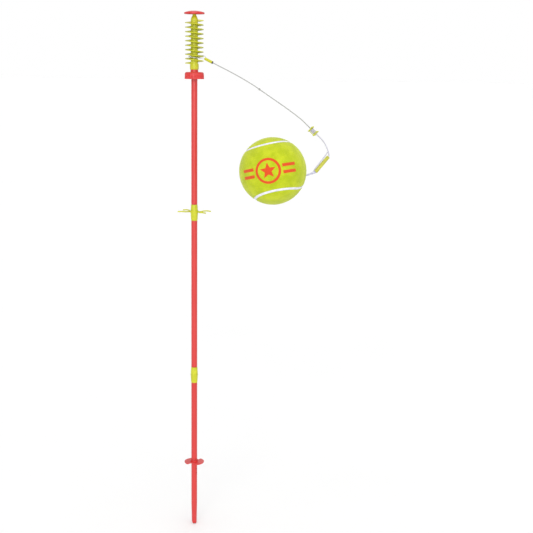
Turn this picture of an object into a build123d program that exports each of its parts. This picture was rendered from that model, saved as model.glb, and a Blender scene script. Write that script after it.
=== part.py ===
from build123d import *
import os
from math import cos, pi, radians, sin, tan

os.makedirs("parts", exist_ok=True)

# A tetherball set: a three-piece tube pole on a ground spike, a left-handed spiral at its top,
# a wire runner in the spiral's groove, and a felt-covered ball on an adjustable tether.
# Millimetres. +Z is up the pole, and the origin is on the pole's axis at lawn level.

# heights up the pole
SPIKE_TIP = -222.0
SPIKE_TAPER_TOP = -146.0
HUB_TOP = 9.0
LOWER_JOINT = (284.0, 337.0)
UPPER_JOINT = (836.5, 889.0)
FORK_HEIGHT = 866.0
COLLAR_BOTTOM = 1296.0
COLLAR_TOP = 1318.0
SPIRAL_BOTTOM = 1326.0
SPIRAL_RIM_TOP = 1345.0
SHOULDER_BOTTOM = 1480.0
SHOULDER_TOP = 1495.5
CAP_BOTTOM = 1500.0
CAP_RIM_TOP = 1505.0
CAP_TOP = 1510.5

# the pole and what plugs into it
POLE_R = 10.0
POLE_BORE_R = 8.8
POLE_LIP = 0.6
SPIGOT_R = 8.7
SPIGOT_BORE_R = 6.6
SPIGOT_LENGTH = 40.0
SPIGOT_LEAD_IN = 1.0
SEAT_GAP = 0.2
FIT = 0.1
POLE_FIT = 0.08
OVERCUT = 1.0
JOINT_END_R = 10.4
JOINT_MID_R = 11.9
JOINT_RING_R = 12.6
JOINT_RING_HALF = 1.6
JOINT_RING_DEPTH = 3.0

# the ground spike and its foot plate
SPIKE_R = 9.9
SPIKE_TIP_R = 8.2
SPIKE_SPIGOT_TOP = 60.0
SPIKE_SEAT = 1.0
SPIKE_SEAT_R = 9.6
TIP_CUT_LEFT = 12.0
TIP_CUT_RIGHT = 5.0
TIP_NOTCH = 4.0
TIP_POINTS = (-2.9, 0.5, 4.9)
PEG_HOLE_R = 2.4
PEG_HOLE_Z = (-22.0, -38.0)
PEG_HOLE_YAW = -35.0
PLATE_R = 33.0
PLATE_THICK = 3.0
PLATE_YAW = -12.0
PLATE_WAIST = (14.0, 17.0)
PLATE_CORNER_R = 3.0
HUB_R = 12.6
HUB_EDGE_R = 1.5

# the racket forks
FORK_YAW = -17.0
FORK_WIRE_R = 2.1
FORK_RING_OUT_R = 14.4
FORK_RING_HALF = 2.6
# one prong's centre line: out from the pole's axis, across, and up
FORK_PRONG = [
    (13.4, 0.0, 0.0),
    (20.0, 8.0, -0.8),
    (25.0, 21.0, 0.4),
    (36.0, 23.0, 1.2),
    (49.0, 23.5, -0.2),
]

# the spiral: a left-handed flight round a hollow core
PITCH = 14.15
TURNS = 9.5
FLIGHT_START = 1480.4
FLIGHT_R = 29.9
FLIGHT_ROOT_HALF = 3.2
FLIGHT_TIP_HALF = 1.3
CORE_R = 11.5
CORE_BORE_R = 10.05
RIM_R = 14.2
RIM_CROWN = 0.5
FLIGHT_SINK = 0.7
SPIRAL_NECK_R = 6.0
SHOULDER_MIDDLE = (9.9, 1488.5)
CAP_STEM_R = 4.0
BORE_TOP = 1473.0

# the locking collar
COLLAR_R = 30.6
COLLAR_NECK_R = 12.2
COLLAR_NECK_TOP = 1337.0
COLLAR_FLUTES = 30
COLLAR_EDGE_R = 6.0
COLLAR_SPREAD = 0.6
COLLAR_NECK_FOOT = 1324.0
COLLAR_RECESS = 6.0
COLLAR_HUB_R = 15.0
COLLAR_HUB_RISE = 1.0
COLLAR_WALL = 3.2
FLUTE_R = 2.6
FLUTE_CENTRE_R = 32.5
FLUTE_TOP = 1314.5
RING_MAJOR_R = 11.25
RING_MINOR_R = 1.2
RING_Z = 1309.0

# the cap
CAP_R = 32.5
CAP_STEM_BOTTOM = 1481.0
CAP_BOSS_R = (10.4, 11.4)
CAP_RECESS_TOP = 1501.6
CAP_RIM_IN_R = (28.5, 29.5)
CAP_DOME = (19.5, 1508.9)
CAP_EDGE_R = 0.9

# the runner: a wire loop, one turn of the groove long, closed by a sleeve
WIRE_R = 1.0
WIRE_TURN_R = 19.0
RUNNER_TURN = 8
WIRE_SPREAD = 1.3
SLEEVE_START = Vector(33.8, -5.0, 1361.2)
SLEEVE_END = Vector(57.3, -12.0, 1349.2)
SLEEVE_R = 4.1
SLEEVE_RIB_R = 4.75
SLEEVE_BORE_R = 3.3
SLEEVE_RIBS = 8
SLEEVE_RIB_SINK = 0.3
CRIMP_LENGTH = 3.0
CRIMP_R = 4.0
CRIMP_PLUG = 8.0
CRIMP_CUP_R = 1.75
CRIMP_SWING = 57.0

# the tether
CORD_R = 1.6
LOWER_CORD_R = 2.0
KNOT_R = 3.0
KNOT_END_R = 2.2
KNOT_HALF = 4.0
TETHER_UPPER = [
    (59.9, -12.8, 1347.9),
    (87.5, -21.2, 1334.3),
    (116.9, -30.0, 1320.4),
    (157.3, -42.6, 1299.1),
    (185.0, -51.2, 1283.4),
    (210.6, -59.0, 1267.0),
    (245.8, -69.3, 1243.4),
    (288.5, -81.0, 1215.6),
    (322.5, -91.0, 1191.9),
    (347.0, -98.7, 1173.6),
    (364.4, -105.2, 1156.3),
    (377.2, -110.0, 1144.6),
]
KNOT_POINT = 5
TETHER_LOWER = [
    (386.8, -113.6, 1135.8),
    (397.5, -117.6, 1126.0),
    (412.0, -121.6, 1112.2),
    (420.3, -125.3, 1099.4),
    (426.0, -129.0, 1086.4),
    (429.8, -131.9, 1076.6),
    (431.6, -133.5, 1069.6),
    (430.9, -134.9, 1064.2),
    (426.8, -136.8, 1059.5),
]
LINK_CORD = [
    (427.3, -134.6, 1077.6),
    (421.4, -137.9, 1068.4),
    (413.3, -142.4, 1057.8),
    (403.6, -147.6, 1046.2),
    (394.4, -152.4, 1034.6),
    (386.1, -156.4, 1025.6),
    (382.6, -158.3, 1016.8),
]

# the tether's adjuster, a spool with lobed flanges
SPOOL_CENTRE = Vector(382.0, -111.8, 1140.2)
SPOOL_DIRECTION = Vector(0.711, -0.265, -0.651).normalized()
SPOOL_HALF = 11.8
SPOOL_FLANGE = 3.2
SPOOL_FLANGE_R = 8.4
SPOOL_LOBE_R = 3.6
SPOOL_LOBE_OUT = 9.4
SPOOL_HUB_R = 3.6
SPOOL_BORE_FIT = 0.15
SPOOL_BORE_DEPTH = 5.0
WINDING_R = 6.3
WINDING_EDGE_R = 1.2
WINDING_FIT = 0.05
BAR_R = 1.2
BAR_OUT = 8.7

# the stiff tube in the tether's lower end
TUBE_START = Vector(429.3, -135.6, 1062.4)
TUBE_END = Vector(389.6, -154.4, 1016.4)
TUBE_R = 5.8
TUBE_BORE_R = 2.2
TUBE_EDGE_R = 0.8

# the ball
BALL_CENTRE = Vector(255.6, -173.9, 1019.5)
BALL_R = 105.0
FELT_THICK = 2.4
FELT_GAP = 0.1
SHELL_THICK = 3.0
TAIL_AXIS = Vector(105.5, 3.9, -13.1).normalized()
TAIL_ROOT_OUT = 0.6
TAIL_TUBE_GAP = 1.5
TAIL_BIG_R = 4.1
TAIL_SMALL_R = 2.5
TAIL_STEM_R = 2.2
TAIL_FIT = 0.08
TAIL_STEM_IN = 6.0
GROMMET_R = 7.0
GROMMET_LIP_R = 9.5
GROMMET_LIP = 1.6
GROMMET_IN = 0.6
GROMMET_PROUD = 0.2
WASHER_R = 11.0
WASHER_THICK = 2.4
WASHER_GAP = 0.2


def rims(piece, least_radius):
    """A round piece's circular edges that are wider than a radius."""
    circles = piece.edges().filter_by(GeomType.CIRCLE)
    return circles.filter_by(lambda edge: edge.radius > least_radius)


def plane_along(origin, direction):
    """The plane at a point whose normal is the given direction, with its x level."""
    return Plane(origin=origin, x_dir=Vector(0, 0, 1).cross(direction), z_dir=direction)


def arc_radii(route):
    """An arc for each corner of a cord's route, as large as its two runs allow."""
    points = [Vector(p) for p in route]
    radii = []
    for before, here, after in zip(points, points[1:], points[2:]):
        into, out = here - before, after - here
        half_turn = radians(into.get_angle(out)) / 2
        radii.append(0.45 * min(into.length, out.length) / tan(half_turn))
    return radii


def cord_tube(route, radius):
    """A tube along straight runs joined by tangent arcs."""
    with BuildPart() as tube:
        with BuildLine() as path:
            FilletPolyline(*route, radius=arc_radii(route))
        with BuildSketch(Plane(origin=path.line @ 0, z_dir=path.line % 0)):
            Circle(radius)
        sweep(path=path.line)
    return tube, sum(edge.length for edge in path.edges())


def pole_tube(bottom, top):
    """One length of pole, its ends eased where they meet a joint piece."""
    with BuildPart() as tube:
        with BuildSketch(Plane.XY.offset(bottom)):
            Circle(POLE_R)
            Circle(POLE_BORE_R, mode=Mode.SUBTRACT)
        extrude(amount=top - bottom)
        chamfer(rims(tube, POLE_BORE_R + FIT), length=POLE_LIP)
    return tube


def joint_piece(bottom, top):
    """A hollow push-fit joint: a barrel with a raised ring, and a spigot at each end."""
    middle = (bottom + top) / 2
    with BuildPart() as piece:
        with BuildSketch(Plane.XZ):
            with BuildLine():
                Polyline(
                    (JOINT_END_R, bottom),
                    (SPIGOT_R, bottom),
                    (SPIGOT_R, bottom - SPIGOT_LENGTH),
                    (SPIGOT_BORE_R, bottom - SPIGOT_LENGTH),
                    (SPIGOT_BORE_R, top + SPIGOT_LENGTH),
                    (SPIGOT_R, top + SPIGOT_LENGTH),
                    (SPIGOT_R, top),
                    (JOINT_END_R, top),
                )
                ThreePointArc((JOINT_END_R, top), (JOINT_MID_R, middle), (JOINT_END_R, bottom))
            make_face()
            with Locations((JOINT_RING_R, middle)):
                Rectangle(JOINT_RING_DEPTH, 2 * JOINT_RING_HALF, align=(Align.MAX, Align.CENTER))
        revolve(axis=Axis.Z)
        outer = rims(piece, SPIGOT_R - FIT)
        chamfer(outer.group_by(Axis.Z)[0] + outer.group_by(Axis.Z)[-1], length=SPIGOT_LEAD_IN)
    return piece


# the ground spike: a tube with a closed notched tip and a spigot for the lowest pole
with BuildPart() as ground_spike:
    with BuildSketch(Plane.XZ):
        with BuildLine():
            Polyline(
                (0, SPIKE_TIP),
                (SPIKE_TIP_R, SPIKE_TIP),
                (SPIKE_R, SPIKE_TAPER_TOP),
                (SPIKE_R, 0),
                (SPIKE_SEAT_R, 0),
                (SPIKE_SEAT_R, SPIKE_SEAT),
                (SPIGOT_R, SPIKE_SEAT),
                (SPIGOT_R, SPIKE_SPIGOT_TOP),
                (SPIGOT_BORE_R, SPIKE_SPIGOT_TOP),
                (SPIGOT_BORE_R, SPIKE_TAPER_TOP),
                (0, SPIKE_TAPER_TOP - SPIGOT_BORE_R),
                close=True,
            )
        make_face()
    revolve(axis=Axis.Z)
    # the tip is cut to two points with a notch between them
    with BuildSketch(Plane.XZ):
        with BuildLine():
            Polyline(
                (-SPIKE_R, SPIKE_TIP - OVERCUT),
                (-SPIKE_R, SPIKE_TIP + TIP_CUT_LEFT),
                (TIP_POINTS[0], SPIKE_TIP),
                (TIP_POINTS[1], SPIKE_TIP + TIP_NOTCH),
                (TIP_POINTS[2], SPIKE_TIP),
                (SPIKE_R, SPIKE_TIP + TIP_CUT_RIGHT),
                (SPIKE_R, SPIKE_TIP - OVERCUT),
                close=True,
            )
        make_face()
    extrude(amount=SPIKE_R + OVERCUT, both=True, mode=Mode.SUBTRACT)
    for height in PEG_HOLE_Z:
        with BuildSketch(Plane.YZ.rotated((0, 0, PEG_HOLE_YAW))):
            with Locations((0, height)):
                Circle(PEG_HOLE_R)
        extrude(amount=SPIKE_R + OVERCUT, mode=Mode.SUBTRACT)

# the foot plate: two rounded wings on a hub that is trapped between spike and pole
with BuildPart() as foot_plate:
    with BuildSketch(Plane.XY.rotated((0, 0, PLATE_YAW))):
        Circle(PLATE_R)
        with PolarLocations(PLATE_R, 2, start_angle=90):
            Ellipse(*PLATE_WAIST, rotation=90, mode=Mode.SUBTRACT)
    extrude(amount=PLATE_THICK)
    fillet(foot_plate.edges().filter_by(GeomType.LINE).filter_by(Axis.Z), radius=PLATE_CORNER_R)
    with BuildSketch(Plane.XY):
        Circle(HUB_R)
    extrude(amount=HUB_TOP)
    fillet(foot_plate.edges().group_by(Axis.Z)[-1], radius=HUB_EDGE_R)
    with BuildSketch(Plane.XY):
        Circle(SPIGOT_R + FIT)
    extrude(amount=HUB_TOP, mode=Mode.SUBTRACT)
    # the spike's shoulder comes up into the plate, so that its underside is clear
    with BuildSketch(Plane.XY):
        Circle(SPIKE_R + FIT)
    extrude(amount=SPIKE_SEAT, mode=Mode.SUBTRACT)

lower_pole = pole_tube(HUB_TOP + SEAT_GAP, LOWER_JOINT[0])
lower_connector = joint_piece(*LOWER_JOINT)
middle_pole = pole_tube(LOWER_JOINT[1] + SEAT_GAP, UPPER_JOINT[0])
upper_connector = joint_piece(*UPPER_JOINT)
upper_pole = pole_tube(UPPER_JOINT[1] + SEAT_GAP, BORE_TOP - OVERCUT)

# the racket forks: a clip ring with a two-pronged fork at each side
fork_plane = Plane.XY.offset(FORK_HEIGHT).rotated((0, 0, FORK_YAW))
with BuildPart() as racket_fork:
    with BuildSketch(fork_plane.offset(-FORK_RING_HALF)):
        Circle(FORK_RING_OUT_R)
    extrude(amount=2 * FORK_RING_HALF)
    for side in (1, -1):
        for way in (1, -1):
            prong = [fork_plane.from_local_coords((side * x, way * y, z)) for x, y, z in FORK_PRONG]
            with BuildLine() as centre_line:
                FilletPolyline(*prong, radius=arc_radii(prong))
            with BuildSketch(Plane(origin=centre_line.line @ 0, z_dir=centre_line.line % 0)):
                Circle(FORK_WIRE_R)
            sweep(path=centre_line.line)
    with BuildSketch(fork_plane.offset(-FORK_RING_HALF - OVERCUT)):
        Circle(JOINT_RING_R + FIT)
    extrude(amount=2 * (FORK_RING_HALF + OVERCUT), mode=Mode.SUBTRACT)

# the spiral: core, rim and neck in one, with the flight wound round it
with BuildPart() as spiral:
    with BuildSketch(Plane.XZ):
        with BuildLine():
            rim_middle = (SPIRAL_BOTTOM + SPIRAL_RIM_TOP) / 2
            rim_foot = (RIM_R - RIM_CROWN, SPIRAL_BOTTOM)
            rim_head = (RIM_R - RIM_CROWN, SPIRAL_RIM_TOP)
            ThreePointArc(rim_foot, (RIM_R, rim_middle), rim_head)
            Polyline(rim_head, (CORE_R, SPIRAL_RIM_TOP), (CORE_R, SHOULDER_BOTTOM))
            Spline(
                (CORE_R, SHOULDER_BOTTOM),
                SHOULDER_MIDDLE,
                (SPIRAL_NECK_R, SHOULDER_TOP),
                tangents=[(0, 1), (-0.5, 0.87)],
            )
            Polyline(
                (SPIRAL_NECK_R, SHOULDER_TOP),
                (SPIRAL_NECK_R, CAP_BOTTOM - SEAT_GAP),
                (CAP_STEM_R + FIT, CAP_BOTTOM - SEAT_GAP),
                (CAP_STEM_R + FIT, BORE_TOP + CORE_BORE_R - CAP_STEM_R),
                (CORE_BORE_R, BORE_TOP),
                (CORE_BORE_R, COLLAR_NECK_TOP + OVERCUT),
                (COLLAR_NECK_R + FIT, COLLAR_NECK_TOP + OVERCUT),
                (COLLAR_NECK_R + FIT, SPIRAL_BOTTOM),
                rim_foot,
            )
        make_face()
    revolve(axis=Axis.Z)
    flight_bottom = FLIGHT_START - PITCH * TURNS
    flight_mid_r = (CORE_R + FLIGHT_R) / 2
    with BuildLine(mode=Mode.PRIVATE) as wind:
        Helix(PITCH, PITCH * TURNS, flight_mid_r, center=(0, 0, flight_bottom), lefthand=True)
    flight_path = wind.line.rotate(Axis.Z, 180)
    with BuildSketch(Plane(origin=flight_path @ 0, x_dir=(-1, 0, 0), z_dir=flight_path % 0)):
        with BuildLine():
            root = CORE_R - FLIGHT_SINK - flight_mid_r
            tip = FLIGHT_R - flight_mid_r
            Line((root, -FLIGHT_ROOT_HALF), (tip - FLIGHT_TIP_HALF, -FLIGHT_TIP_HALF))
            ThreePointArc(
                (tip - FLIGHT_TIP_HALF, -FLIGHT_TIP_HALF),
                (tip, 0),
                (tip - FLIGHT_TIP_HALF, FLIGHT_TIP_HALF),
            )
            Line((tip - FLIGHT_TIP_HALF, FLIGHT_TIP_HALF), (root, FLIGHT_ROOT_HALF))
            Line((root, FLIGHT_ROOT_HALF), (root, -FLIGHT_ROOT_HALF))
        make_face()
    sweep(path=flight_path, is_frenet=True)

# the locking collar: a fluted hand nut whose neck goes up inside the spiral's rim
ring_room = RING_MINOR_R + FIT
with BuildPart() as locking_collar:
    with BuildSketch(Plane.XZ):
        with BuildLine():
            Polyline(
                (COLLAR_NECK_R, COLLAR_NECK_TOP),
                (COLLAR_NECK_R, COLLAR_NECK_FOOT),
                (COLLAR_NECK_R + COLLAR_SPREAD, COLLAR_TOP),
                (COLLAR_R - COLLAR_EDGE_R, COLLAR_TOP),
            )
            RadiusArc(
                (COLLAR_R - COLLAR_EDGE_R, COLLAR_TOP),
                (COLLAR_R, COLLAR_TOP - COLLAR_EDGE_R),
                COLLAR_EDGE_R,
            )
            Polyline(
                (COLLAR_R, COLLAR_TOP - COLLAR_EDGE_R),
                (COLLAR_R + COLLAR_SPREAD, COLLAR_BOTTOM),
                (COLLAR_R - COLLAR_WALL, COLLAR_BOTTOM),
                (COLLAR_R - COLLAR_WALL, COLLAR_BOTTOM + COLLAR_RECESS),
                (COLLAR_HUB_R, COLLAR_BOTTOM + COLLAR_RECESS),
                (COLLAR_HUB_R, COLLAR_BOTTOM + COLLAR_HUB_RISE),
                (POLE_R + POLE_FIT, COLLAR_BOTTOM + COLLAR_HUB_RISE),
                (POLE_R + POLE_FIT, RING_Z - ring_room),
                (RING_MAJOR_R + ring_room, RING_Z - ring_room),
                (RING_MAJOR_R + ring_room, RING_Z + ring_room),
                (POLE_R + POLE_FIT, RING_Z + ring_room),
                (POLE_R + POLE_FIT, COLLAR_NECK_TOP),
                (COLLAR_NECK_R, COLLAR_NECK_TOP),
            )
        make_face()
    revolve(axis=Axis.Z)
    with BuildSketch(Plane.XY.offset(COLLAR_BOTTOM - OVERCUT)):
        with PolarLocations(FLUTE_CENTRE_R, COLLAR_FLUTES):
            Circle(FLUTE_R)
    extrude(amount=FLUTE_TOP - COLLAR_BOTTOM, mode=Mode.SUBTRACT)

# the collar's grip ring, a rubber ring that lies loose in a groove round the pole
with BuildPart() as grip_ring:
    with BuildSketch(Plane.XZ):
        with Locations((RING_MAJOR_R, RING_Z)):
            Circle(RING_MINOR_R)
    revolve(axis=Axis.Z)

# the cap: a shallow dome with a stem that plugs into the spiral's neck
with BuildPart() as top_cap:
    with BuildSketch(Plane.XZ):
        with BuildLine():
            Polyline(
                (0, CAP_TOP),
                (0, CAP_STEM_BOTTOM),
                (CAP_STEM_R, CAP_STEM_BOTTOM),
                (CAP_STEM_R, CAP_BOTTOM),
                (CAP_BOSS_R[0], CAP_BOTTOM),
                (CAP_BOSS_R[1], CAP_RECESS_TOP),
                (CAP_RIM_IN_R[0], CAP_RECESS_TOP),
                (CAP_RIM_IN_R[1], CAP_BOTTOM),
                (CAP_R, CAP_BOTTOM),
                (CAP_R, CAP_RIM_TOP),
            )
            ThreePointArc((CAP_R, CAP_RIM_TOP), CAP_DOME, (0, CAP_TOP))
        make_face()
    revolve(axis=Axis.Z)
    fillet(rims(top_cap, CAP_R - FIT), radius=CAP_EDGE_R)

# the runner's wire: one turn of the groove, its two ends side by side in the sleeve
sleeve_way = (SLEEVE_END - SLEEVE_START).normalized()
sleeve_up = sleeve_way.cross(Vector(0, 0, 1)).cross(sleeve_way).normalized()
runner_z = FLIGHT_START - PITCH * RUNNER_TURN


def groove_point(angle, radius, drop=0.0):
    """A point in the runner's groove, anticlockwise from +X, at or below the groove's middle."""
    height = runner_z + PITCH / 2 - PITCH * angle / 360 - drop
    return (radius * cos(radians(angle)), radius * sin(radians(angle)), height)


def sleeve_point(along, across):
    """A point in the sleeve's mouth, along its axis and above it."""
    return tuple(SLEEVE_START + sleeve_way * along + sleeve_up * across)


WIRE_ROUTE = (
    [sleeve_point(12, WIRE_SPREAD), sleeve_point(3, WIRE_SPREAD)]
    + [(35.8, -3.0, runner_z - 2.0), (34.2, 2.2, runner_z + 1.2)]
    + [groove_point(17, 29.8, drop=3.4), groove_point(36, 25.0, drop=2.6)]
    + [groove_point(angle, WIRE_TURN_R) for angle in range(62, 300, 29)]
    + [groove_point(322, 23.0), groove_point(341, 28.5)]
    + [sleeve_point(2.5, -WIRE_SPREAD), sleeve_point(12, -WIRE_SPREAD)]
)
wire_loop, wire_length = cord_tube(WIRE_ROUTE, WIRE_R)

# the sleeve, ribbed along its length, and the crimped end that the tether leaves
sleeve_length = (SLEEVE_END - SLEEVE_START).length
with BuildPart() as loop_sleeve:
    with BuildSketch(plane_along(SLEEVE_START, sleeve_way)):
        Circle(SLEEVE_R)
        Circle(SLEEVE_BORE_R, mode=Mode.SUBTRACT)
    extrude(amount=sleeve_length)
    rib_step = sleeve_length / SLEEVE_RIBS
    for rib in range(SLEEVE_RIBS):
        rib_start = SLEEVE_START + sleeve_way * (rib_step * (rib + 0.25))
        with BuildSketch(plane_along(rib_start, sleeve_way)):
            Circle(SLEEVE_RIB_R)
            Circle(SLEEVE_R - SLEEVE_RIB_SINK, mode=Mode.SUBTRACT)
        extrude(amount=rib_step / 2)

with BuildPart() as sleeve_crimp:
    with BuildSketch(plane_along(SLEEVE_END, sleeve_way)):
        Circle(CRIMP_R)
    extrude(amount=CRIMP_LENGTH)
    with BuildSketch(plane_along(SLEEVE_END - sleeve_way * CRIMP_PLUG, sleeve_way)):
        Circle(SLEEVE_BORE_R - FIT)
    extrude(amount=CRIMP_PLUG)
    # the tether's end turns in a round-bottomed cup that opens as far as the tether swings
    crimp_face = SLEEVE_END + sleeve_way * CRIMP_LENGTH
    crimp_side = sleeve_way.cross(sleeve_up)
    mouth_r = (CRIMP_CUP_R + SEAT_GAP * sin(radians(CRIMP_SWING))) / cos(radians(CRIMP_SWING))
    with BuildSketch(Plane(origin=crimp_face, x_dir=crimp_side, z_dir=crimp_side.cross(sleeve_way))):
        with BuildLine():
            cup = CenterArc((0, 0), CRIMP_CUP_R, -90, 90 - CRIMP_SWING)
            Polyline(cup @ 1, (mouth_r, SEAT_GAP), (0, SEAT_GAP), cup @ 0)
        make_face()
    revolve(axis=Axis(crimp_face, sleeve_way), mode=Mode.SUBTRACT)

# the tether, in its three stretches, and the knot in the first
tether_upper, upper_length = cord_tube(TETHER_UPPER, CORD_R)
tether_lower, lower_length = cord_tube(TETHER_LOWER, LOWER_CORD_R)
link_cord, link_length = cord_tube(LINK_CORD, LOWER_CORD_R)

knot_at = Vector(*TETHER_UPPER[KNOT_POINT])
knot_way = (Vector(*TETHER_UPPER[KNOT_POINT + 1]) - Vector(*TETHER_UPPER[KNOT_POINT - 1])).normalized()
with BuildPart() as tether_knot:
    for along, radius in ((-KNOT_HALF, KNOT_END_R), (0, KNOT_R), (KNOT_HALF, KNOT_END_R)):
        with BuildSketch(plane_along(knot_at + knot_way * along, knot_way)):
            Circle(radius)
    loft()

# the adjuster spool, the cord wound on it, and the bar that keeps the winding on
spool_start = SPOOL_CENTRE - SPOOL_DIRECTION * SPOOL_HALF
spool_end = SPOOL_CENTRE + SPOOL_DIRECTION * SPOOL_HALF
with BuildPart() as adjuster_spool:
    with BuildSketch(plane_along(spool_start, SPOOL_DIRECTION)):
        Circle(SPOOL_HUB_R)
    extrude(amount=2 * SPOOL_HALF)
    for face_at in (spool_start, spool_end - SPOOL_DIRECTION * SPOOL_FLANGE):
        with BuildSketch(plane_along(face_at, SPOOL_DIRECTION)):
            Circle(SPOOL_FLANGE_R)
            with PolarLocations(SPOOL_LOBE_OUT, 4, start_angle=45):
                Circle(SPOOL_LOBE_R)
        extrude(amount=SPOOL_FLANGE)
    for mouth, way, radius in (
        (spool_start, SPOOL_DIRECTION, CORD_R),
        (spool_end, SPOOL_DIRECTION * -1, LOWER_CORD_R),
    ):
        with BuildSketch(plane_along(mouth, way)):
            Circle(radius + SPOOL_BORE_FIT)
        extrude(amount=SPOOL_BORE_DEPTH, mode=Mode.SUBTRACT)

winding_length = 2 * (SPOOL_HALF - SPOOL_FLANGE - SEAT_GAP)
winding_start = SPOOL_CENTRE - SPOOL_DIRECTION * (winding_length / 2)
with BuildPart() as spool_winding:
    with BuildSketch(plane_along(winding_start, SPOOL_DIRECTION)):
        Circle(WINDING_R)
        Circle(SPOOL_HUB_R + WINDING_FIT, mode=Mode.SUBTRACT)
    extrude(amount=winding_length)
    fillet(rims(spool_winding, WINDING_R - FIT), radius=WINDING_EDGE_R)

with BuildPart() as spool_bar:
    with BuildSketch(plane_along(winding_start, SPOOL_DIRECTION)):
        with Locations((0, -BAR_OUT)):
            Circle(BAR_R)
    extrude(amount=winding_length)

# the stiff tube
tube_way = (TUBE_END - TUBE_START).normalized()
with BuildPart() as link_tube:
    with BuildSketch(plane_along(TUBE_START, tube_way)):
        Circle(TUBE_R)
        Circle(TUBE_BORE_R, mode=Mode.SUBTRACT)
    extrude(amount=(TUBE_END - TUBE_START).length)
    fillet(rims(link_tube, TUBE_R - FIT), radius=TUBE_EDGE_R)

# the ball: two half shells, the felt over them, and the grommet that the tail comes through
felt_inner = BALL_R - FELT_THICK
shell_outer = felt_inner - FELT_GAP
shell_inner = shell_outer - SHELL_THICK
tail_mouth = plane_along(BALL_CENTRE, TAIL_AXIS)


def half_shell(way):
    """Half of the hollow rubber ball, split along a plane that holds the tail's axis."""
    cut = Plane(origin=BALL_CENTRE, x_dir=TAIL_AXIS, z_dir=tail_mouth.x_dir * way)
    with BuildPart(cut) as half:
        Sphere(shell_outer)
        Sphere(shell_inner, mode=Mode.SUBTRACT)
        split(bisect_by=cut, keep=Keep.TOP)
        with BuildSketch(tail_mouth):
            Circle(GROMMET_R + FIT)
        extrude(amount=BALL_R + OVERCUT, mode=Mode.SUBTRACT)
    return half


ball_shell_front = half_shell(1)
ball_shell_back = half_shell(-1)

with BuildPart(Plane(origin=BALL_CENTRE)) as felt_cover:
    Sphere(BALL_R)
    Sphere(felt_inner, mode=Mode.SUBTRACT)
    with BuildSketch(tail_mouth):
        Circle(GROMMET_R + FIT)
    extrude(amount=BALL_R + OVERCUT, mode=Mode.SUBTRACT)

with BuildPart() as ball_grommet:
    with BuildSketch(tail_mouth.offset(shell_inner - GROMMET_IN)):
        Circle(GROMMET_R)
    extrude(amount=BALL_R - GROMMET_PROUD - shell_inner + GROMMET_IN)
    with BuildSketch(tail_mouth.offset(shell_inner - GROMMET_IN - GROMMET_LIP)):
        Circle(GROMMET_LIP_R)
    extrude(amount=GROMMET_LIP + FIT)
    with BuildSketch(tail_mouth.offset(shell_inner - TAIL_STEM_IN)):
        Circle(TAIL_STEM_R + TAIL_FIT)
    extrude(amount=BALL_R - shell_inner + TAIL_STEM_IN, mode=Mode.SUBTRACT)

# the tail: a straight tapered rubber lead, its stem through the grommet, and a washer inside the ball
tail_root = BALL_CENTRE + TAIL_AXIS * (BALL_R + TAIL_ROOT_OUT)
tail_tip = TUBE_END + tube_way * TAIL_ROOT_OUT + (tail_root - TUBE_END).normalized() * TAIL_TUBE_GAP
tail_way = (tail_root - tail_tip).normalized()
with BuildPart() as ball_tail:
    with BuildSketch(plane_along(tail_root, TAIL_AXIS)):
        Circle(TAIL_SMALL_R)
    with BuildSketch(plane_along(tail_tip, tail_way * -1)):
        Circle(TAIL_BIG_R)
    loft()
    with BuildSketch(tail_mouth.offset(shell_inner - TAIL_STEM_IN)):
        Circle(TAIL_STEM_R)
    extrude(amount=BALL_R + TAIL_ROOT_OUT + FIT - shell_inner + TAIL_STEM_IN)

with BuildPart() as tail_washer:
    with BuildSketch(tail_mouth.offset(shell_inner - TAIL_STEM_IN - WASHER_GAP - WASHER_THICK)):
        Circle(WASHER_R)
    extrude(amount=WASHER_THICK)

NODES = {
    "ground_spike": ground_spike,
    "foot_plate": foot_plate,
    "lower_pole": lower_pole,
    "lower_connector": lower_connector,
    "middle_pole": middle_pole,
    "upper_connector": upper_connector,
    "racket_fork": racket_fork,
    "upper_pole": upper_pole,
    "spiral": spiral,
    "locking_collar": locking_collar,
    "grip_ring": grip_ring,
    "top_cap": top_cap,
    "wire_loop": wire_loop,
    "loop_sleeve": loop_sleeve,
    "sleeve_crimp": sleeve_crimp,
    "tether_upper": tether_upper,
    "tether_knot": tether_knot,
    "adjuster_spool": adjuster_spool,
    "spool_winding": spool_winding,
    "spool_bar": spool_bar,
    "tether_lower": tether_lower,
    "link_tube": link_tube,
    "link_cord": link_cord,
    "ball_tail": ball_tail,
    "tail_washer": tail_washer,
    "ball_grommet": ball_grommet,
    "ball_shell_front": ball_shell_front,
    "ball_shell_back": ball_shell_back,
    "felt_cover": felt_cover,
}
for name, piece in NODES.items():
    piece.part.label = name
    export_step(piece.part, f"parts/{name}.step")

# what each cord measures, and the arcs of its tube
CORDS = {
    "tether_upper": (TETHER_UPPER, CORD_R, upper_length),
    "tether_lower": (TETHER_LOWER, LOWER_CORD_R, lower_length),
    "link_cord": (LINK_CORD, LOWER_CORD_R, link_length),
}
for name, (route, radius, length) in CORDS.items():
    print(name, "length", round(length, 1), "arc radii", [round(r, 1) for r in arc_radii(route)])
    print(name, "volume over section x length", NODES[name].part.volume / (pi * radius**2 * length))
print("wire_loop length", round(wire_length, 1), "arc radii", [round(r, 1) for r in arc_radii(WIRE_ROUTE)])
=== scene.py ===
from math import cos, pi, radians, sin

import bmesh
import bpy
import numpy as np
from mathutils import Matrix, Vector, noise


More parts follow.
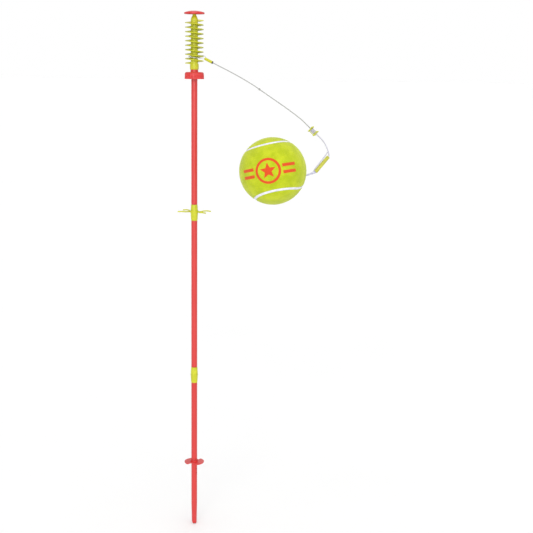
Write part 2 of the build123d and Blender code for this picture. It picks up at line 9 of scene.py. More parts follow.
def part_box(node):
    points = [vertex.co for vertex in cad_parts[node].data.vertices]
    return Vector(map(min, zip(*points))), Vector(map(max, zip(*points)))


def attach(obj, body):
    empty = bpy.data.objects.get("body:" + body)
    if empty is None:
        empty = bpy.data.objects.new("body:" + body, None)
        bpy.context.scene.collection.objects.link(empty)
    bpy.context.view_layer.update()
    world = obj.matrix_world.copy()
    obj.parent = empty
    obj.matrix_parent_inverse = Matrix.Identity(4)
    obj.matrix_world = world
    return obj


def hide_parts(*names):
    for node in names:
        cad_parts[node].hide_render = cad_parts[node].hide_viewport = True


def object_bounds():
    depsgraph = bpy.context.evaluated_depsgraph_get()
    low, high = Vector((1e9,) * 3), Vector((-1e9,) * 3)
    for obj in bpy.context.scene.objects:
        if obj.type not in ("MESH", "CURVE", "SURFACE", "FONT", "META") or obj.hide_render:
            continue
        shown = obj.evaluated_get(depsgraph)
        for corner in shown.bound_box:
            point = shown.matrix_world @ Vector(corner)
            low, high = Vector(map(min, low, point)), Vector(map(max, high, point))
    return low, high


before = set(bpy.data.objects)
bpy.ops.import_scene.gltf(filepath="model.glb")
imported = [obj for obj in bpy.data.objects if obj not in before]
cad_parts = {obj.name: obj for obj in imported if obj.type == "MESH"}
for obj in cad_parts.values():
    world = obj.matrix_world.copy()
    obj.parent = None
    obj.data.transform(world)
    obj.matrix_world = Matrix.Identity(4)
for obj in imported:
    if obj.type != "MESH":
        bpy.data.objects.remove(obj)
cad_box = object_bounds()

# A tetherball set. Metres, in the part's own frame: +Z is up the pole and z = 0 is the lawn.

# the camera
CAMERA_AT = (0.2397, -3.6249, 1.3567)
CAMERA_PITCH = radians(10.5)
CAMERA_ROLL = radians(0.705)
CAMERA_LENS = 75.0
CAMERA_SENSOR = 36.0

# the tether's three stretches
CORD_R = 0.0016
LOWER_CORD_R = 0.0020
TETHER_UPPER = [
    (0.0599, -0.0128, 1.3479),
    (0.0875, -0.0212, 1.3343),
    (0.1169, -0.0300, 1.3204),
    (0.1573, -0.0426, 1.2991),
    (0.1850, -0.0512, 1.2834),
    (0.2106, -0.0590, 1.2670),
    (0.2458, -0.0693, 1.2434),
    (0.2885, -0.0810, 1.2156),
    (0.3225, -0.0910, 1.1919),
    (0.3470, -0.0987, 1.1736),
    (0.3644, -0.1052, 1.1563),
    (0.3772, -0.1100, 1.1446),
]
TETHER_LOWER = [
    (0.3868, -0.1136, 1.1358),
    (0.3975, -0.1176, 1.1260),
    (0.4120, -0.1216, 1.1122),
    (0.4203, -0.1253, 1.0994),
    (0.4260, -0.1290, 1.0864),
    (0.4298, -0.1319, 1.0766),
    (0.4316, -0.1335, 1.0696),
    (0.4309, -0.1349, 1.0642),
    (0.4268, -0.1368, 1.0595),
]
LINK_CORD = [
    (0.4273, -0.1346, 1.0776),
    (0.4214, -0.1379, 1.0684),
    (0.4133, -0.1424, 1.0578),
    (0.4036, -0.1476, 1.0462),
    (0.3944, -0.1524, 1.0346),
    (0.3861, -0.1564, 1.0256),
    (0.3826, -0.1583, 1.0168),
]
KNOT_POINT = 5

# how the cord is plaited
PLAIT_STRANDS = 4
PLAIT_LAY = 0.0128
PLAIT_DEPTH = 0.2
RING_STEP = 0.00045
CORD_SIDES = 24

# the spool's winding, the knot, and the loop's sleeve
WINDING_R = 0.0050
WINDING_CORD_R = 0.0013
WINDING_TURNS = 6
WINDING_PITCH = 2.05 * WINDING_CORD_R
WINDING_STEPS = 40
KNOT_SCALE = 0.0009
KNOT_STRETCH = (1.15, 0.9, 1.1)
KNOT_STEPS = 120
KNOT_CORD_R = 0.0013
SLEEVE_FROM = Vector((0.0338, -0.0050, 1.3612))
SLEEVE_TO = Vector((0.0573, -0.0120, 1.3492))
SLEEVE_VALLEY_R = 0.0040
SLEEVE_CREST_R = 0.00475
SLEEVE_BORE_R = 0.0033
SLEEVE_RIBS = 8
SLEEVE_SIDES = 40
SLEEVE_STEP = 0.00022
SLEEVE_RIB_SHARPNESS = 2.2
SLEEVE_END_EASE = 0.0009

# the ball's felt and seam
SEAM_TURN = Vector((1.0722, -0.9170, 0.6187))
SEAM_THIRD = 0.1887
SEAM_LIFT = 0.6265
SEAM_HALF = 0.0041
SEAM_SUNK = 0.0009
GROOVE_DEPTH = 0.0022
GROOVE_FROM = 0.0036
GROOVE_TO = 0.0075
FELT_LUMPS = 0.00035
FELT_LUMP_SCALE = 30
BALL_SUBDIVISIONS = 7
SEAM_STEPS = 1440
SEAM_CROWN = 0.0005
SEAM_FOOT = GROOVE_DEPTH + 0.0003

# the print on the ball: a star in a ring, with two stripes at each side
STAR_POINT_R = 0.0255
STAR_NOTCH_R = 0.0115
RING_R = 0.0355
RING_HALF = 0.0038
STRIPE_OUT = 0.0620
STRIPE_HALF_LENGTH = 0.0175
STRIPE_RISE = 0.0105
STRIPE_HALF_WIDTH = 0.0048
MOTIF_DEPTH = 0.02
MOTIF_TILT = radians(-11)
MOTIF_OUT = Vector((-0.145, -0.984, 0.10)).normalized()

# the floor
FLOOR_HALF = 90.0
SURROUND_STRENGTH = 0.62


# ---------------------------------------------------------------- shaders


class Field:
    """A number that varies over a surface, as a socket in a material's nodes."""

    def __init__(self, tree, socket):
        self.tree, self.socket = tree, socket

    def math(self, operation, other=None):
        node = self.tree.nodes.new("ShaderNodeMath")
        node.operation = operation
        for slot, value in enumerate((self, other)):
            if isinstance(value, Field):
                self.tree.links.new(value.socket, node.inputs[slot])
            elif value is not None:
                node.inputs[slot].default_value = value
        return Field(self.tree, node.outputs[0])

    def __add__(self, other):
        return self.math("ADD", other)

    def __sub__(self, other):
        return self.math("SUBTRACT", other)

    def __mul__(self, other):
        return self.math("MULTIPLY", other)

    def __truediv__(self, other):
        return self.math("DIVIDE", other)

    def __abs__(self):
        return self.math("ABSOLUTE")

    def below(self, other):
        return self.math("LESS_THAN", other)

    def above(self, other):
        return self.math("GREATER_THAN", other)

    def larger(self, other):
        return self.math("MAXIMUM", other)

    def between(self, low, high):
        """0 up to low and 1 from high, with a smooth way between."""
        node = self.tree.nodes.new("ShaderNodeMapRange")
        node.interpolation_type = "SMOOTHSTEP"
        node.inputs["From Min"].default_value = low
        node.inputs["From Max"].default_value = high
        self.tree.links.new(self.socket, node.inputs["Value"])
        return Field(self.tree, node.outputs["Result"])


class Finish:
    """A material and short ways to add to its nodes, in metres on the object."""

    def __init__(self, name, **values):
        self.material = bpy.data.materials.new(name)
        self.material.use_nodes = True
        self.tree = self.material.node_tree
        self.surface = self.tree.nodes["Principled BSDF"]
        for socket, value in values.items():
            self.surface.inputs[socket.replace("_", " ")].default_value = value
        self.place = self.tree.nodes.new("ShaderNodeTexCoord").outputs["Object"]
        self.height = None

    def axis(self, direction, origin=(0, 0, 0)):
        """How far along a direction a point is from an origin."""
        away = self.tree.nodes.new("ShaderNodeVectorMath")
        away.operation = "SUBTRACT"
        away.inputs[1].default_value = origin
        self.tree.links.new(self.place, away.inputs[0])
        dot = self.tree.nodes.new("ShaderNodeVectorMath")
        dot.operation = "DOT_PRODUCT"
        dot.inputs[1].default_value = direction
        self.tree.links.new(away.outputs[0], dot.inputs[0])
        return Field(self.tree, dot.outputs["Value"])

    def noise(self, size, detail=3.0, rough=0.55, stretch=(1, 1, 1)):
        """Cloudy noise of a feature size, drawn out along an axis by stretch."""
        scale = self.tree.nodes.new("ShaderNodeMapping")
        scale.inputs["Scale"].default_value = [1 / (size * s) for s in stretch]
        self.tree.links.new(self.place, scale.inputs["Vector"])
        node = self.tree.nodes.new("ShaderNodeTexNoise")
        node.inputs["Scale"].default_value = 1.0
        node.inputs["Detail"].default_value = detail
        node.inputs["Roughness"].default_value = rough
        self.tree.links.new(scale.outputs[0], node.inputs["Vector"])
        return Field(self.tree, node.outputs["Fac"])

    def cells(self, size):
        """The distance to the nearest of scattered points."""
        node = self.tree.nodes.new("ShaderNodeTexVoronoi")
        node.inputs["Scale"].default_value = 1 / size
        self.tree.links.new(self.place, node.inputs["Vector"])
        return Field(self.tree, node.outputs["Distance"])

    def mesh_value(self, name):
        node = self.tree.nodes.new("ShaderNodeAttribute")
        node.attribute_name = name
        return Field(self.tree, node.outputs["Fac"])

    def colour(self, low, high, share):
        """Two colours blended by a field, each a colour or another blend."""
        node = self.tree.nodes.new("ShaderNodeMix")
        node.data_type = "RGBA"
        self.tree.links.new(share.socket, node.inputs["Factor"])
        for socket, value in ((node.inputs["A"], low), (node.inputs["B"], high)):
            if isinstance(value, tuple):
                socket.default_value = (*value, 1)
            else:
                self.tree.links.new(value, socket)
        return node.outputs["Result"]

    def paint(self, colour):
        self.tree.links.new(colour, self.surface.inputs["Base Color"])

    def gloss(self, low, high, share):
        """Roughness from low to high by a field."""
        spread = share * (high - low) + low
        self.tree.links.new(spread.socket, self.surface.inputs["Roughness"])

    def bump(self, field, metres):
        """Relief of a depth in metres, over whatever relief there is."""
        node = self.tree.nodes.new("ShaderNodeBump")
        node.inputs["Distance"].default_value = metres
        self.tree.links.new(field.socket, node.inputs["Height"])
        if self.height:
            self.tree.links.new(self.height, node.inputs["Normal"])
        self.height = node.outputs["Normal"]
        self.tree.links.new(self.height, self.surface.inputs["Normal"])


def painted_tube():
    """Gloss paint on drawn steel tube, rubbed a little where the lengths meet."""
    finish = Finish("painted_tube", Specular_IOR_Level=0.5, Coat_Weight=0.25, Coat_Roughness=0.12)
    cloud = finish.noise(0.05, detail=4, stretch=(1, 1, 4))
    drawn = finish.noise(0.0012, detail=3, stretch=(1, 1, 60))
    speck = finish.noise(0.0016, detail=5, rough=0.7)
    red = finish.colour((0.50, 0.018, 0.016), (0.61, 0.034, 0.030), cloud)
    red = finish.colour(red, (0.66, 0.075, 0.062), speck.between(0.62, 0.80) * 0.5)
    along = finish.axis((0, 0, 1))
    rubbed = None
    for node in ("lower_pole", "middle_pole", "upper_pole"):
        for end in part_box(node):
            near = abs(along - end.z).between(0.0035, 0.0004)
            rubbed = near if rubbed is None else rubbed.larger(near)
    rubbed = rubbed * finish.noise(0.0025, detail=5).between(0.46, 0.60)
    scratch = finish.noise(0.004, detail=6, rough=0.75, stretch=(1, 1, 14)).between(0.68, 0.76) * 0.4
    red = finish.colour(red, (0.70, 0.16, 0.14), scratch)
    finish.paint(finish.colour(red, (0.33, 0.07, 0.06), rubbed))
    finish.gloss(0.24, 0.46, cloud * 0.5 + speck * 0.5)
    finish.bump(finish.noise(0.0035, detail=2), 0.00008)
    finish.bump(drawn, 0.00003)
    finish.bump(rubbed, -0.00006)
    return finish.material


def moulded(name, low, high, pale, roughness=(0.3, 0.5), coarse=0.0):
    """Moulded plastic: flow marks, a fine spark-eroded grain, and paler rubbed spots."""
    finish = Finish(name, Specular_IOR_Level=0.5)
    flow = finish.noise(0.018, detail=4, stretch=(1, 1, 0.5))
    grain = finish.noise(0.0007, detail=3, rough=0.6)
    mottle = finish.noise(0.0032, detail=4, rough=0.65)
    base = finish.colour(low, high, flow.between(0.3, 0.7) * 0.6 + mottle.between(0.35, 0.7) * 0.4)
    finish.paint(finish.colour(base, pale, mottle.between(0.60, 0.78) * 0.35))
    finish.gloss(*roughness, grain * 0.4 + flow * 0.6)
    finish.bump(flow, 0.00022)
    finish.bump(grain, 0.00006)
    if coarse:
        finish.bump(finish.cells(0.0021), coarse)
    return finish.material


def drawn_wire():
    """Bright steel wire with draw marks along it and a few dull spots."""
    finish = Finish("drawn_wire", Metallic=0.35)
    dull = finish.noise(0.004, detail=5)
    marks = finish.noise(0.0004, detail=3, stretch=(3, 3, 1))
    finish.paint(finish.colour((0.60, 0.58, 0.70), (0.80, 0.79, 0.88), dull))
    finish.gloss(0.22, 0.42, marks)
    finish.bump(marks, 0.00003)
    return finish.material


def plaited_cord(name, low, high, soiled):
    """Plaited cord with painted shade darkening its valleys, fine fibres and slight soiling."""
    finish = Finish(name, Sheen_Weight=0.2, Sheen_Roughness=0.5, Specular_IOR_Level=0.3)
    crown = finish.mesh_value("crown")
    soil = finish.noise(0.012, detail=4)
    fibre = finish.noise(0.00035, detail=4, rough=0.7)
    strand = finish.colour(low, high, fibre)
    strand = finish.colour(strand, soiled, soil.between(0.55, 0.8) * 0.5)
    # painted shade: the valleys between the strands get half the low strand colour, laid on by the crown
    # value
    painted_valley_shade = tuple(part * 0.5 for part in low)
    finish.paint(finish.colour(painted_valley_shade, strand, crown.between(0.05, 0.55)))
    finish.gloss(0.62, 0.85, fibre)
    finish.bump(fibre, 0.0001)
    return finish.material


def soft_tube():
    """Extruded olive-yellow tube, slightly cloudy, with fine paler specks."""
    finish = Finish("soft_tube", Specular_IOR_Level=0.5)
    cloud = finish.noise(0.009, detail=4)
    speck = finish.noise(0.0012, detail=4, rough=0.7)
    olive = finish.colour((0.36, 0.36, 0.030), (0.55, 0.54, 0.065), cloud.between(0.25, 0.75))
    finish.paint(finish.colour(olive, (0.66, 0.65, 0.18), speck.between(0.58, 0.75) * 0.5))
    finish.gloss(0.28, 0.5, cloud)
    finish.bump(speck, 0.00008)
    return finish.material


def lead_rubber():
    """The ball's pale lead: matt rubber with a lavender cast and a little bloom."""
    finish = Finish("lead_rubber", Specular_IOR_Level=0.4)
    bloom = finish.noise(0.006, detail=5)
    grain = finish.noise(0.0006, detail=3)
    finish.paint(finish.colour((0.36, 0.36, 0.48), (0.62, 0.61, 0.72), bloom.between(0.3, 0.7)))
    finish.gloss(0.42, 0.62, grain)
    finish.bump(grain, 0.00006)
    return finish.material


def black_rubber(name):
    """Black moulded rubber with grey dust in its grain."""
    finish = Finish(name, Specular_IOR_Level=0.4)
    dust = finish.noise(0.003, detail=5, rough=0.65)
    grain = finish.noise(0.0005, detail=3)
    finish.paint(finish.colour((0.012, 0.012, 0.013), (0.06, 0.06, 0.058), dust.between(0.4, 0.75)))
    finish.gloss(0.45, 0.7, dust)
    finish.bump(grain, 0.00008)
    return finish.material


def seam_rubber():
    """The pale rubber that joins the felt panels, pitted and a little soiled."""
    finish = Finish("seam_rubber", Specular_IOR_Level=0.35)
    soil = finish.noise(0.012, detail=5)
    pits = finish.noise(0.0011, detail=4, rough=0.7)
    pale = finish.colour((0.62, 0.62, 0.72), (0.80, 0.80, 0.88), soil.between(0.3, 0.7))
    finish.paint(finish.colour(pale, (0.50, 0.53, 0.42), pits.between(0.60, 0.80) * 0.5))
    finish.gloss(0.55, 0.8, pits)
    finish.bump(pits, 0.0003)
    return finish.material


def motif(finish, centre):
    """A plain printed roundel: a star in a ring, with two stripes at each side."""
    side = Vector((0, 0, 1)).cross(MOTIF_OUT).normalized() * -1
    up = MOTIF_OUT.cross(side).normalized() * -1
    across = side * cos(MOTIF_TILT) + up * sin(MOTIF_TILT)
    above = up * cos(MOTIF_TILT) - side * sin(MOTIF_TILT)
    x = finish.axis(across, centre)
    y = finish.axis(above, centre)
    radius = (x * x + y * y).math("SQRT")
    fifth = pi / 5
    turn = abs((x.math("ARCTAN2", y) + fifth).math("FLOORED_MODULO", 2 * fifth) - fifth)
    sloped = (turn * -1 + fifth).math("SINE") * STAR_NOTCH_R + turn.math("SINE") * STAR_POINT_R
    edge = sloped.math("POWER", -1.0) * (STAR_POINT_R * STAR_NOTCH_R * sin(fifth))
    star = radius.below(edge)
    ring = abs(radius - RING_R).below(RING_HALF)
    high_enough = abs(abs(y) - STRIPE_RISE).below(STRIPE_HALF_WIDTH)
    stripes = high_enough * abs(abs(x) - STRIPE_OUT).below(STRIPE_HALF_LENGTH)
    printed = star.larger(ring).larger(stripes)
    return printed * finish.axis(MOTIF_OUT, centre).above(MOTIF_DEPTH)


def felt(centre):
    """Napped optic-yellow felt with a red print worked into it."""
    finish = Finish(
        "felt",
        Sheen_Weight=0.45,
        Sheen_Roughness=0.45,
        Sheen_Tint=(0.90, 0.95, 0.45, 1),
        Specular_IOR_Level=0.15,
    )
    cloud = finish.noise(0.030, detail=4)
    tuft = finish.noise(0.0042, detail=6, rough=0.7)
    fibre = finish.noise(0.0007, detail=4, rough=0.75, stretch=(2.6, 1, 0.8))
    green = finish.colour((0.40, 0.485, 0.008), (0.53, 0.60, 0.018), cloud.between(0.3, 0.7))
    green = finish.colour(green, (0.60, 0.65, 0.075), tuft.between(0.52, 0.74) * 0.55)
    green = finish.colour(green, (0.22, 0.29, 0.005), fibre.between(0.54, 0.28) * 0.7)
    worn = (fibre * 0.6 + tuft * 0.4).between(0.34, 0.42)
    ink = motif(finish, centre) * worn * 0.93
    finish.paint(finish.colour(green, (0.66, 0.040, 0.018), ink))
    finish.gloss(0.82, 0.98, fibre)
    finish.bump(tuft, 0.0011)
    finish.bump(fibre, 0.0005)
    return finish.material


# ---------------------------------------------------------------- shapes


def add_piece(name, points, faces, material, body, replaced=(), values=None):
    """A smooth mesh piece that rides on a body and stands for some of its CAD nodes."""
    mesh = bpy.data.meshes.new(name)
    mesh.from_pydata([tuple(p) for p in points], [], faces)
    mesh.validate()
    mesh.polygons.foreach_set("use_smooth", [True] * len(mesh.polygons))
    if values is not None:
        mesh.attributes.new("crown", "FLOAT", "POINT").data.foreach_set("value", values)
    mesh.materials.append(material)
    piece = bpy.data.objects.new(name, mesh)
    bpy.context.scene.collection.objects.link(piece)
    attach(piece, body)
    if replaced:
        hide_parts(*replaced)
    return piece


def spline_points(route):
    """Points along the smooth line that a route's points control."""
    curve = bpy.data.curves.new("route", "CURVE")
    curve.dimensions = "3D"
    curve.resolution_u = 24
    spline = curve.splines.new("NURBS")
    spline.points.add(len(route) - 1)
    for control, place in zip(spline.points, route):
        control.co = (*place, 1)
    spline.order_u = 3
    spline.use_endpoint_u = True
    holder = bpy.data.objects.new("route", curve)
    mesh = bpy.data.meshes.new_from_object(holder)
    points = np.array([tuple(v.co) for v in mesh.vertices])
    bpy.data.meshes.remove(mesh)
    bpy.data.objects.remove(holder)
    bpy.data.curves.remove(curve)
    return points


def evenly(points, step):
    """The same line with its points about one step apart."""
    away = np.r_[0, np.cumsum(np.linalg.norm(np.diff(points, axis=0), axis=1))]
    wanted = np.linspace(0, away[-1], max(3, round(away[-1] / step)))
    return np.stack([np.interp(wanted, away, points[:, k]) for k in range(3)], axis=1)


def frames_along(points):
    """A tangent and two crosswise directions at each point, carried along untwisted."""
    tangents = np.gradient(points, axis=0)
    tangents /= np.linalg.norm(tangents, axis=1)[:, None]
    side = np.cross(tangents[0], (0.3, 0.9, 0.3))
    sides = []
    for tangent in tangents:
        side = side - tangent * side.dot(tangent)
        side /= np.linalg.norm(side)
        sides.append(side)
    sides = np.array(sides)
    return tangents, sides, np.cross(tangents, sides)


def ring_faces(rings, sides):
    """Quads between neighbouring rings of points, which face outwards."""
    faces = []
    for ring in range(rings - 1):
        for k in range(sides):
            here, beside = ring * sides + k, ring * sides + (k + 1) % sides
            faces.append((here, beside, beside + sides, here + sides))
    return faces


def plait(turn, along):
    """How high a plaited cord stands, from 0 in its valleys to 1 on its crowns."""
    one = PLAIT_STRANDS * (turn / (2 * pi) + along / PLAIT_LAY)
    other = PLAIT_STRANDS * (turn / (2 * pi) - along / PLAIT_LAY)
    over = (np.floor(one) + np.floor(other)) % 2 == 0
    return np.where(over, np.abs(np.sin(pi * one)), np.abs(np.sin(pi * other)))


def cord_mesh(name, line, radius, material, body, replaced):
    """A plaited cord along a line, with its ends closed."""
    points = evenly(line, RING_STEP)
    _, sides, ups = frames_along(points)
    turn = np.linspace(0, 2 * pi, CORD_SIDES, endpoint=False)[None, :]
    along = (np.arange(len(points)) * RING_STEP)[:, None]
    crown = plait(turn, along)
    reach = radius * (1 - PLAIT_DEPTH * (1 - crown))[..., None]
    around = np.cos(turn)[..., None] * sides[:, None] + np.sin(turn)[..., None] * ups[:, None]
    verts = (points[:, None] + reach * around).reshape(-1, 3)
    faces = ring_faces(len(points), CORD_SIDES)
    last = (len(points) - 1) * CORD_SIDES
    faces.append(tuple(reversed(range(CORD_SIDES))))
    faces.append(tuple(range(last, last + CORD_SIDES)))
    return add_piece(name, verts, faces, material, body, replaced, crown.ravel()), points


def axis_frame(start, end):
    """The direction from start to end, and two directions across it."""
    way = (Vector(end) - Vector(start)).normalized()
    side = way.cross(Vector((0, 0, 1))).normalized()
    return np.array(way), np.array(side), np.array(way.cross(side))


def winding_line():
    """The spare cord's turns round the spool, side by side between its flanges."""
    way, side, up = axis_frame(TETHER_UPPER[-1], TETHER_LOWER[0])
    centre = (np.array(TETHER_UPPER[-1]) + np.array(TETHER_LOWER[0])) / 2
    share = np.linspace(-0.5, 0.5, WINDING_TURNS * WINDING_STEPS)[:, None]
    turn = share * 2 * pi * WINDING_TURNS
    run = share * WINDING_TURNS * WINDING_PITCH
    return centre + way * run + WINDING_R * (np.cos(turn) * side + np.sin(turn) * up)


def knot_line(line):
    """An overhand knot's closed turn, drawn tight round the cord."""
    near = np.argmin(np.linalg.norm(line - np.array(TETHER_UPPER[KNOT_POINT]), axis=1))
    way, side, up = axis_frame(line[near - 4], line[near + 4])
    turn = np.linspace(0, 2 * pi, KNOT_STEPS)[:, None]
    run = np.sin(turn) + 2 * np.sin(2 * turn)
    out = np.cos(turn) - 2 * np.cos(2 * turn)
    lift = -np.sin(3 * turn)
    along, across, aside = KNOT_STRETCH
    return line[near] + KNOT_SCALE * (along * run * way + across * out * up + aside * lift * side)


def ribbed_sleeve(material):
    """The loop's sleeve: a hollow tube with one rib wound along it."""
    way, side, up = axis_frame(SLEEVE_FROM, SLEEVE_TO)
    length = (SLEEVE_TO - SLEEVE_FROM).length
    turn = np.linspace(0, 2 * pi, SLEEVE_SIDES, endpoint=False)
    run = np.linspace(0, length, round(length / SLEEVE_STEP))
    wave = np.cos(2 * pi * (run[:, None] / length * SLEEVE_RIBS - turn[None, :] / (2 * pi)))
    rib = 0.5 + 0.5 * np.tanh(SLEEVE_RIB_SHARPNESS * wave)
    ends = np.clip(np.minimum(run, length - run) / SLEEVE_END_EASE, 0, 1)[:, None]
    outer = SLEEVE_VALLEY_R + (SLEEVE_CREST_R - SLEEVE_VALLEY_R) * rib * ends
    inner_runs = np.array([length, length / 2, 0])
    runs = np.r_[run, inner_runs]
    reach = np.concatenate([outer, np.full((3, SLEEVE_SIDES), SLEEVE_BORE_R)])
    around = np.cos(turn)[:, None] * side + np.sin(turn)[:, None] * up
    verts = np.array(SLEEVE_FROM) + runs[:, None, None] * way + reach[..., None] * around[None]
    rings = len(runs)
    faces = ring_faces(rings, SLEEVE_SIDES)
    last = (rings - 1) * SLEEVE_SIDES
    for k in range(SLEEVE_SIDES):
        beside = (k + 1) % SLEEVE_SIDES
        faces.append((last + k, last + beside, beside, k))
    verts = verts.reshape(-1, 3)
    add_piece("ribbed_sleeve", verts, faces, material, "runner", ["loop_sleeve"])


def seam_directions(count):
    """The ball's seam as directions from its centre: one closed line in two wide lobes."""
    turn = np.linspace(0, 2 * pi, count, endpoint=False)
    first = 1 - SEAM_THIRD
    line = np.stack(
        [
            first * np.cos(turn) + SEAM_THIRD * np.cos(3 * turn),
            first * np.sin(turn) - SEAM_THIRD * np.sin(3 * turn),
            SEAM_LIFT * np.sin(2 * turn),
        ],
        axis=1,
    )
    line /= np.linalg.norm(line, axis=1)[:, None]
    rotation = Matrix.Rotation(SEAM_TURN.length, 3, SEAM_TURN.normalized())
    return line @ np.array(rotation).T


def seam_distance(directions, seam, radius):
    """How far each direction's point is from the seam, and which panel it is on."""
    ahead = np.roll(seam, -1, axis=0) - np.roll(seam, 1, axis=0)
    left = np.cross(seam, ahead)
    left /= np.linalg.norm(left, axis=1)[:, None]
    away = np.empty(len(directions))
    for start in range(0, len(directions), 4000):
        block = directions[start : start + 4000]
        nearest = np.argmax(block @ seam.T, axis=1)
        gap = block - seam[nearest]
        crosswise = (gap * left[nearest]).sum(1)
        away[start : start + 4000] = np.copysign(np.linalg.norm(gap, axis=1), crosswise)
    return away * radius


def felt_panels(centre, radius, seam, material):
    """Two felt panels, rolled down into the groove that the seam lies in."""
    ball = bmesh.new()
    bmesh.ops.create_icosphere(ball, subdivisions=BALL_SUBDIVISIONS, radius=1.0)
    rough = seam_distance(np.array([tuple(v.co) for v in ball.verts]), seam, radius)
    near = [e for e in ball.edges if min(abs(rough[v.index]) for v in e.verts) < GROOVE_TO * 1.2]
    bmesh.ops.subdivide_edges(ball, edges=near, cuts=1, use_grid_fill=True)
    bmesh.ops.triangulate(ball, faces=[f for f in ball.faces if len(f.verts) > 3])
    ball.verts.index_update()
    directions = np.array([tuple(v.co.normalized()) for v in ball.verts])
    away = seam_distance(directions, seam, radius)
    share = np.clip((np.abs(away) - GROOVE_FROM) / (GROOVE_TO - GROOVE_FROM), 0, 1)
    drop = GROOVE_DEPTH * (1 - share * (2 - share))
    lumps = [noise.fractal(Vector(d) * FELT_LUMP_SCALE, 0.8, 2.1, 4) for d in directions]
    reach = radius - FELT_LUMPS - drop + FELT_LUMPS * np.clip(lumps, -1, 1)
    points = np.array(centre) + directions * reach[:, None]
    corners = [[v.index for v in f.verts] for f in ball.faces]
    ball.free()
    for name, way in (("felt_panel_upper", 1), ("felt_panel_lower", -1)):
        mine = [face for face in corners if way * sum(away[k] for k in face) > 0]
        used = sorted({k for face in mine for k in face})
        place = {k: i for i, k in enumerate(used)}
        faces = [tuple(place[k] for k in face) for face in mine]
        add_piece(name, points[used], faces, material, "ball", ["felt_cover"])


def ball_seam(centre, radius, seam, material):
    """The pale strip between the panels, slightly crowned."""
    ahead = np.roll(seam, -1, axis=0) - np.roll(seam, 1, axis=0)
    left = np.cross(seam, ahead)
    left /= np.linalg.norm(left, axis=1)[:, None]
    section = []
    for share in np.linspace(-1, 1, 9):
        section.append((share * SEAM_HALF, -SEAM_SUNK - SEAM_CROWN * share**2))
    section += [(SEAM_HALF, -SEAM_FOOT), (-SEAM_HALF, -SEAM_FOOT)]
    rings = []
    for aside, rise in section:
        direction = seam + left * (aside / radius)
        direction /= np.linalg.norm(direction, axis=1)[:, None]
        rings.append(np.array(centre) + direction * (radius + rise))
    verts = np.concatenate(rings)
    count, faces = len(seam), []
    for row in range(len(section)):
        here, below = row * count, (row + 1) % len(section) * count
        for k in range(count):
            beside = (k + 1) % count
            faces.append((here + k, here + beside, below + beside, below + k))
    add_piece("ball_seam", verts, faces, material, "ball")


# ---------------------------------------------------------------- the stage


def make_camera():
    side = Vector((1, 0, 0))
    level_up = Vector((0, sin(CAMERA_PITCH), cos(CAMERA_PITCH)))
    ahead = Vector((0, cos(CAMERA_PITCH), -sin(CAMERA_PITCH)))
    right = side * cos(CAMERA_ROLL) + level_up * sin(CAMERA_ROLL)
    up = level_up * cos(CAMERA_ROLL) - side * sin(CAMERA_ROLL)
    data = bpy.data.cameras.new("camera")
    data.lens = CAMERA_LENS
    data.sensor_width = CAMERA_SENSOR
    data.clip_end = 200
    camera = bpy.data.objects.new("camera", data)
    bpy.context.scene.collection.objects.link(camera)
    turn = Matrix((right, up, -ahead)).transposed().to_4x4()
    camera.matrix_world = Matrix.Translation(CAMERA_AT) @ turn
    bpy.context.scene.camera = camera


def add_sun(name, towards, strength, spread):
    """A broad soft light from far away that shines in a direction."""
    data = bpy.data.lights.new(name, "SUN")
    data.energy = strength
    data.angle = radians(spread)
    light = bpy.data.objects.new(name, data)
    light.rotation_mode = "QUATERNION"
    light.rotation_quaternion = Vector(towards).to_track_quat("-Z", "Y")
    bpy.context.scene.collection.objects.link(light)


def make_stage(floor_z):
    """A pale floor that runs out of sight, a plain pale surround and soft lights."""
    finish = Finish("floor", Roughness=0.9, Specular_IOR_Level=0.1)
    finish.paint(finish.colour((0.91, 0.91, 0.91), (0.93, 0.93, 0.93), finish.noise(0.5)))
    mesh = bpy.data.meshes.new("floor")
    half = FLOOR_HALF
    corners = [(-half, -half), (half, -half), (half, half), (-half, half)]
    mesh.from_pydata([(x, y, floor_z) for x, y in corners], [], [(0, 1, 2, 3)])
    mesh.materials.append(finish.material)
    floor = bpy.data.objects.new("floor", mesh)
    bpy.context.scene.collection.objects.link(floor)
    world = bpy.data.worlds.new("surround")
    world.use_nodes = True
    world.node_tree.nodes["Background"].inputs["Color"].default_value = (1, 1, 1, 1)
    world.node_tree.nodes["Background"].inputs["Strength"].default_value = SURROUND_STRENGTH
    shown = world.node_tree.nodes.new("ShaderNodeBackground")
    shown.inputs["Color"].default_value = (1, 1, 1, 1)
    rays = world.node_tree.nodes.new("ShaderNodeLightPath")
    either = world.node_tree.nodes.new("ShaderNodeMixShader")
    output = world.node_tree.nodes["World Output"]
    world.node_tree.links.new(rays.outputs["Is Camera Ray"], either.inputs["Fac"])
    world.node_tree.links.new(world.node_tree.nodes["Background"].outputs[0], either.inputs[1])
    world.node_tree.links.new(shown.outputs[0], either.inputs[2])
    world.node_tree.links.new(either.outputs[0], output.inputs["Surface"])
    bpy.context.scene.world = world
    add_sun("key", (0.10, 0.95, -0.24), 1.7, 34)
    add_sun("fill", (-0.55, 0.60, -0.60), 0.45, 70)
    add_sun("back", (-0.10, -0.85, -0.50), 0.45, 70)
    add_sun("top", (0.0, 0.1, -1.0), 0.6, 60)
    bpy.context.scene.view_settings.view_transform = "Standard"


def finish_nodes(finishes):
    """Gives each CAD node that stays in view its material."""
    for material, names in finishes:
        for name in names:
            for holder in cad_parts[name].material_slots:
                holder.material = material


# ---------------------------------------------------------------- the set

make_camera()

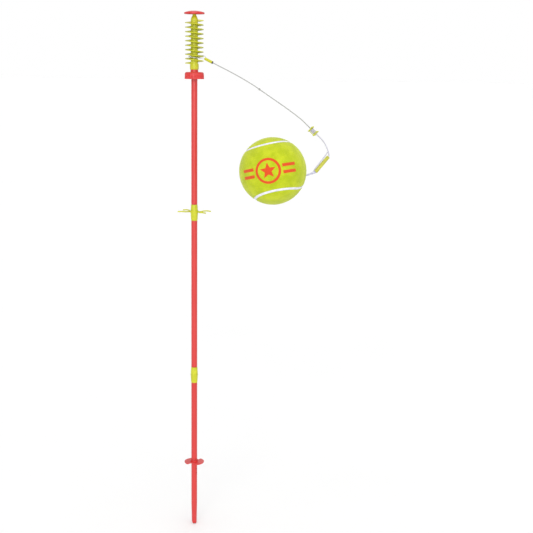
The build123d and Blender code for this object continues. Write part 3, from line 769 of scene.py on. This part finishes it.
grey_cord = plaited_cord("grey_cord", (0.30, 0.30, 0.29), (0.47, 0.47, 0.455), (0.30, 0.30, 0.29))
pale_cord = plaited_cord("pale_cord", (0.47, 0.455, 0.54), (0.64, 0.63, 0.71), (0.42, 0.41, 0.46))
upper_line = spline_points(TETHER_UPPER)
lower_line = spline_points(TETHER_LOWER)
link_line = spline_points(LINK_CORD)
upper, upper_path = cord_mesh(
    "plaited_tether_upper", upper_line, CORD_R, grey_cord, "tether", ["tether_upper"]
)
lower, lower_path = cord_mesh(
    "plaited_tether_lower", lower_line, LOWER_CORD_R, pale_cord, "tether", ["tether_lower"]
)
link, link_path = cord_mesh(
    "plaited_link", link_line, LOWER_CORD_R, pale_cord, "tether", ["link_cord"]
)
knot, _ = cord_mesh(
    "overhand_knot", knot_line(upper_path), KNOT_CORD_R, grey_cord, "tether", ["tether_knot"]
)
cord_mesh("wound_cord", winding_line(), WINDING_CORD_R, pale_cord, "tether", ["spool_winding"])

make_stage(cad_box[0].z)

yellow = moulded("yellow_plastic", (0.45, 0.46, 0.006), (0.57, 0.58, 0.017), (0.64, 0.64, 0.07))
ribbed_sleeve(moulded("sleeve_plastic", (0.45, 0.45, 0.010), (0.60, 0.60, 0.03), (0.68, 0.67, 0.10)))
red = moulded(
    "red_plastic", (0.50, 0.016, 0.015), (0.66, 0.040, 0.036), (0.72, 0.12, 0.11), coarse=0.00018
)

ball_low, ball_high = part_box("felt_cover")
ball_centre = (ball_low + ball_high) / 2
ball_radius = (ball_high.z - ball_low.z) / 2
ball_line = seam_directions(SEAM_STEPS)
felt_panels(ball_centre, ball_radius, ball_line, felt(ball_centre))
ball_seam(ball_centre, ball_radius, ball_line, seam_rubber())

finish_nodes(
    [
        (painted_tube(), ["ground_spike", "lower_pole", "middle_pole", "upper_pole"]),
        (red, ["foot_plate", "locking_collar", "top_cap"]),
        (yellow, ["lower_connector", "upper_connector", "racket_fork", "spiral"]),
        (yellow, ["adjuster_spool", "spool_bar"]),
        (drawn_wire(), ["wire_loop"]),
        (black_rubber("black_crimp"), ["sleeve_crimp"]),
        (soft_tube(), ["link_tube"]),
        (lead_rubber(), ["ball_tail", "ball_grommet"]),
        (black_rubber("inner_rubber"), ["grip_ring", "tail_washer", "ball_shell_front", "ball_shell_back"]),
    ]
)
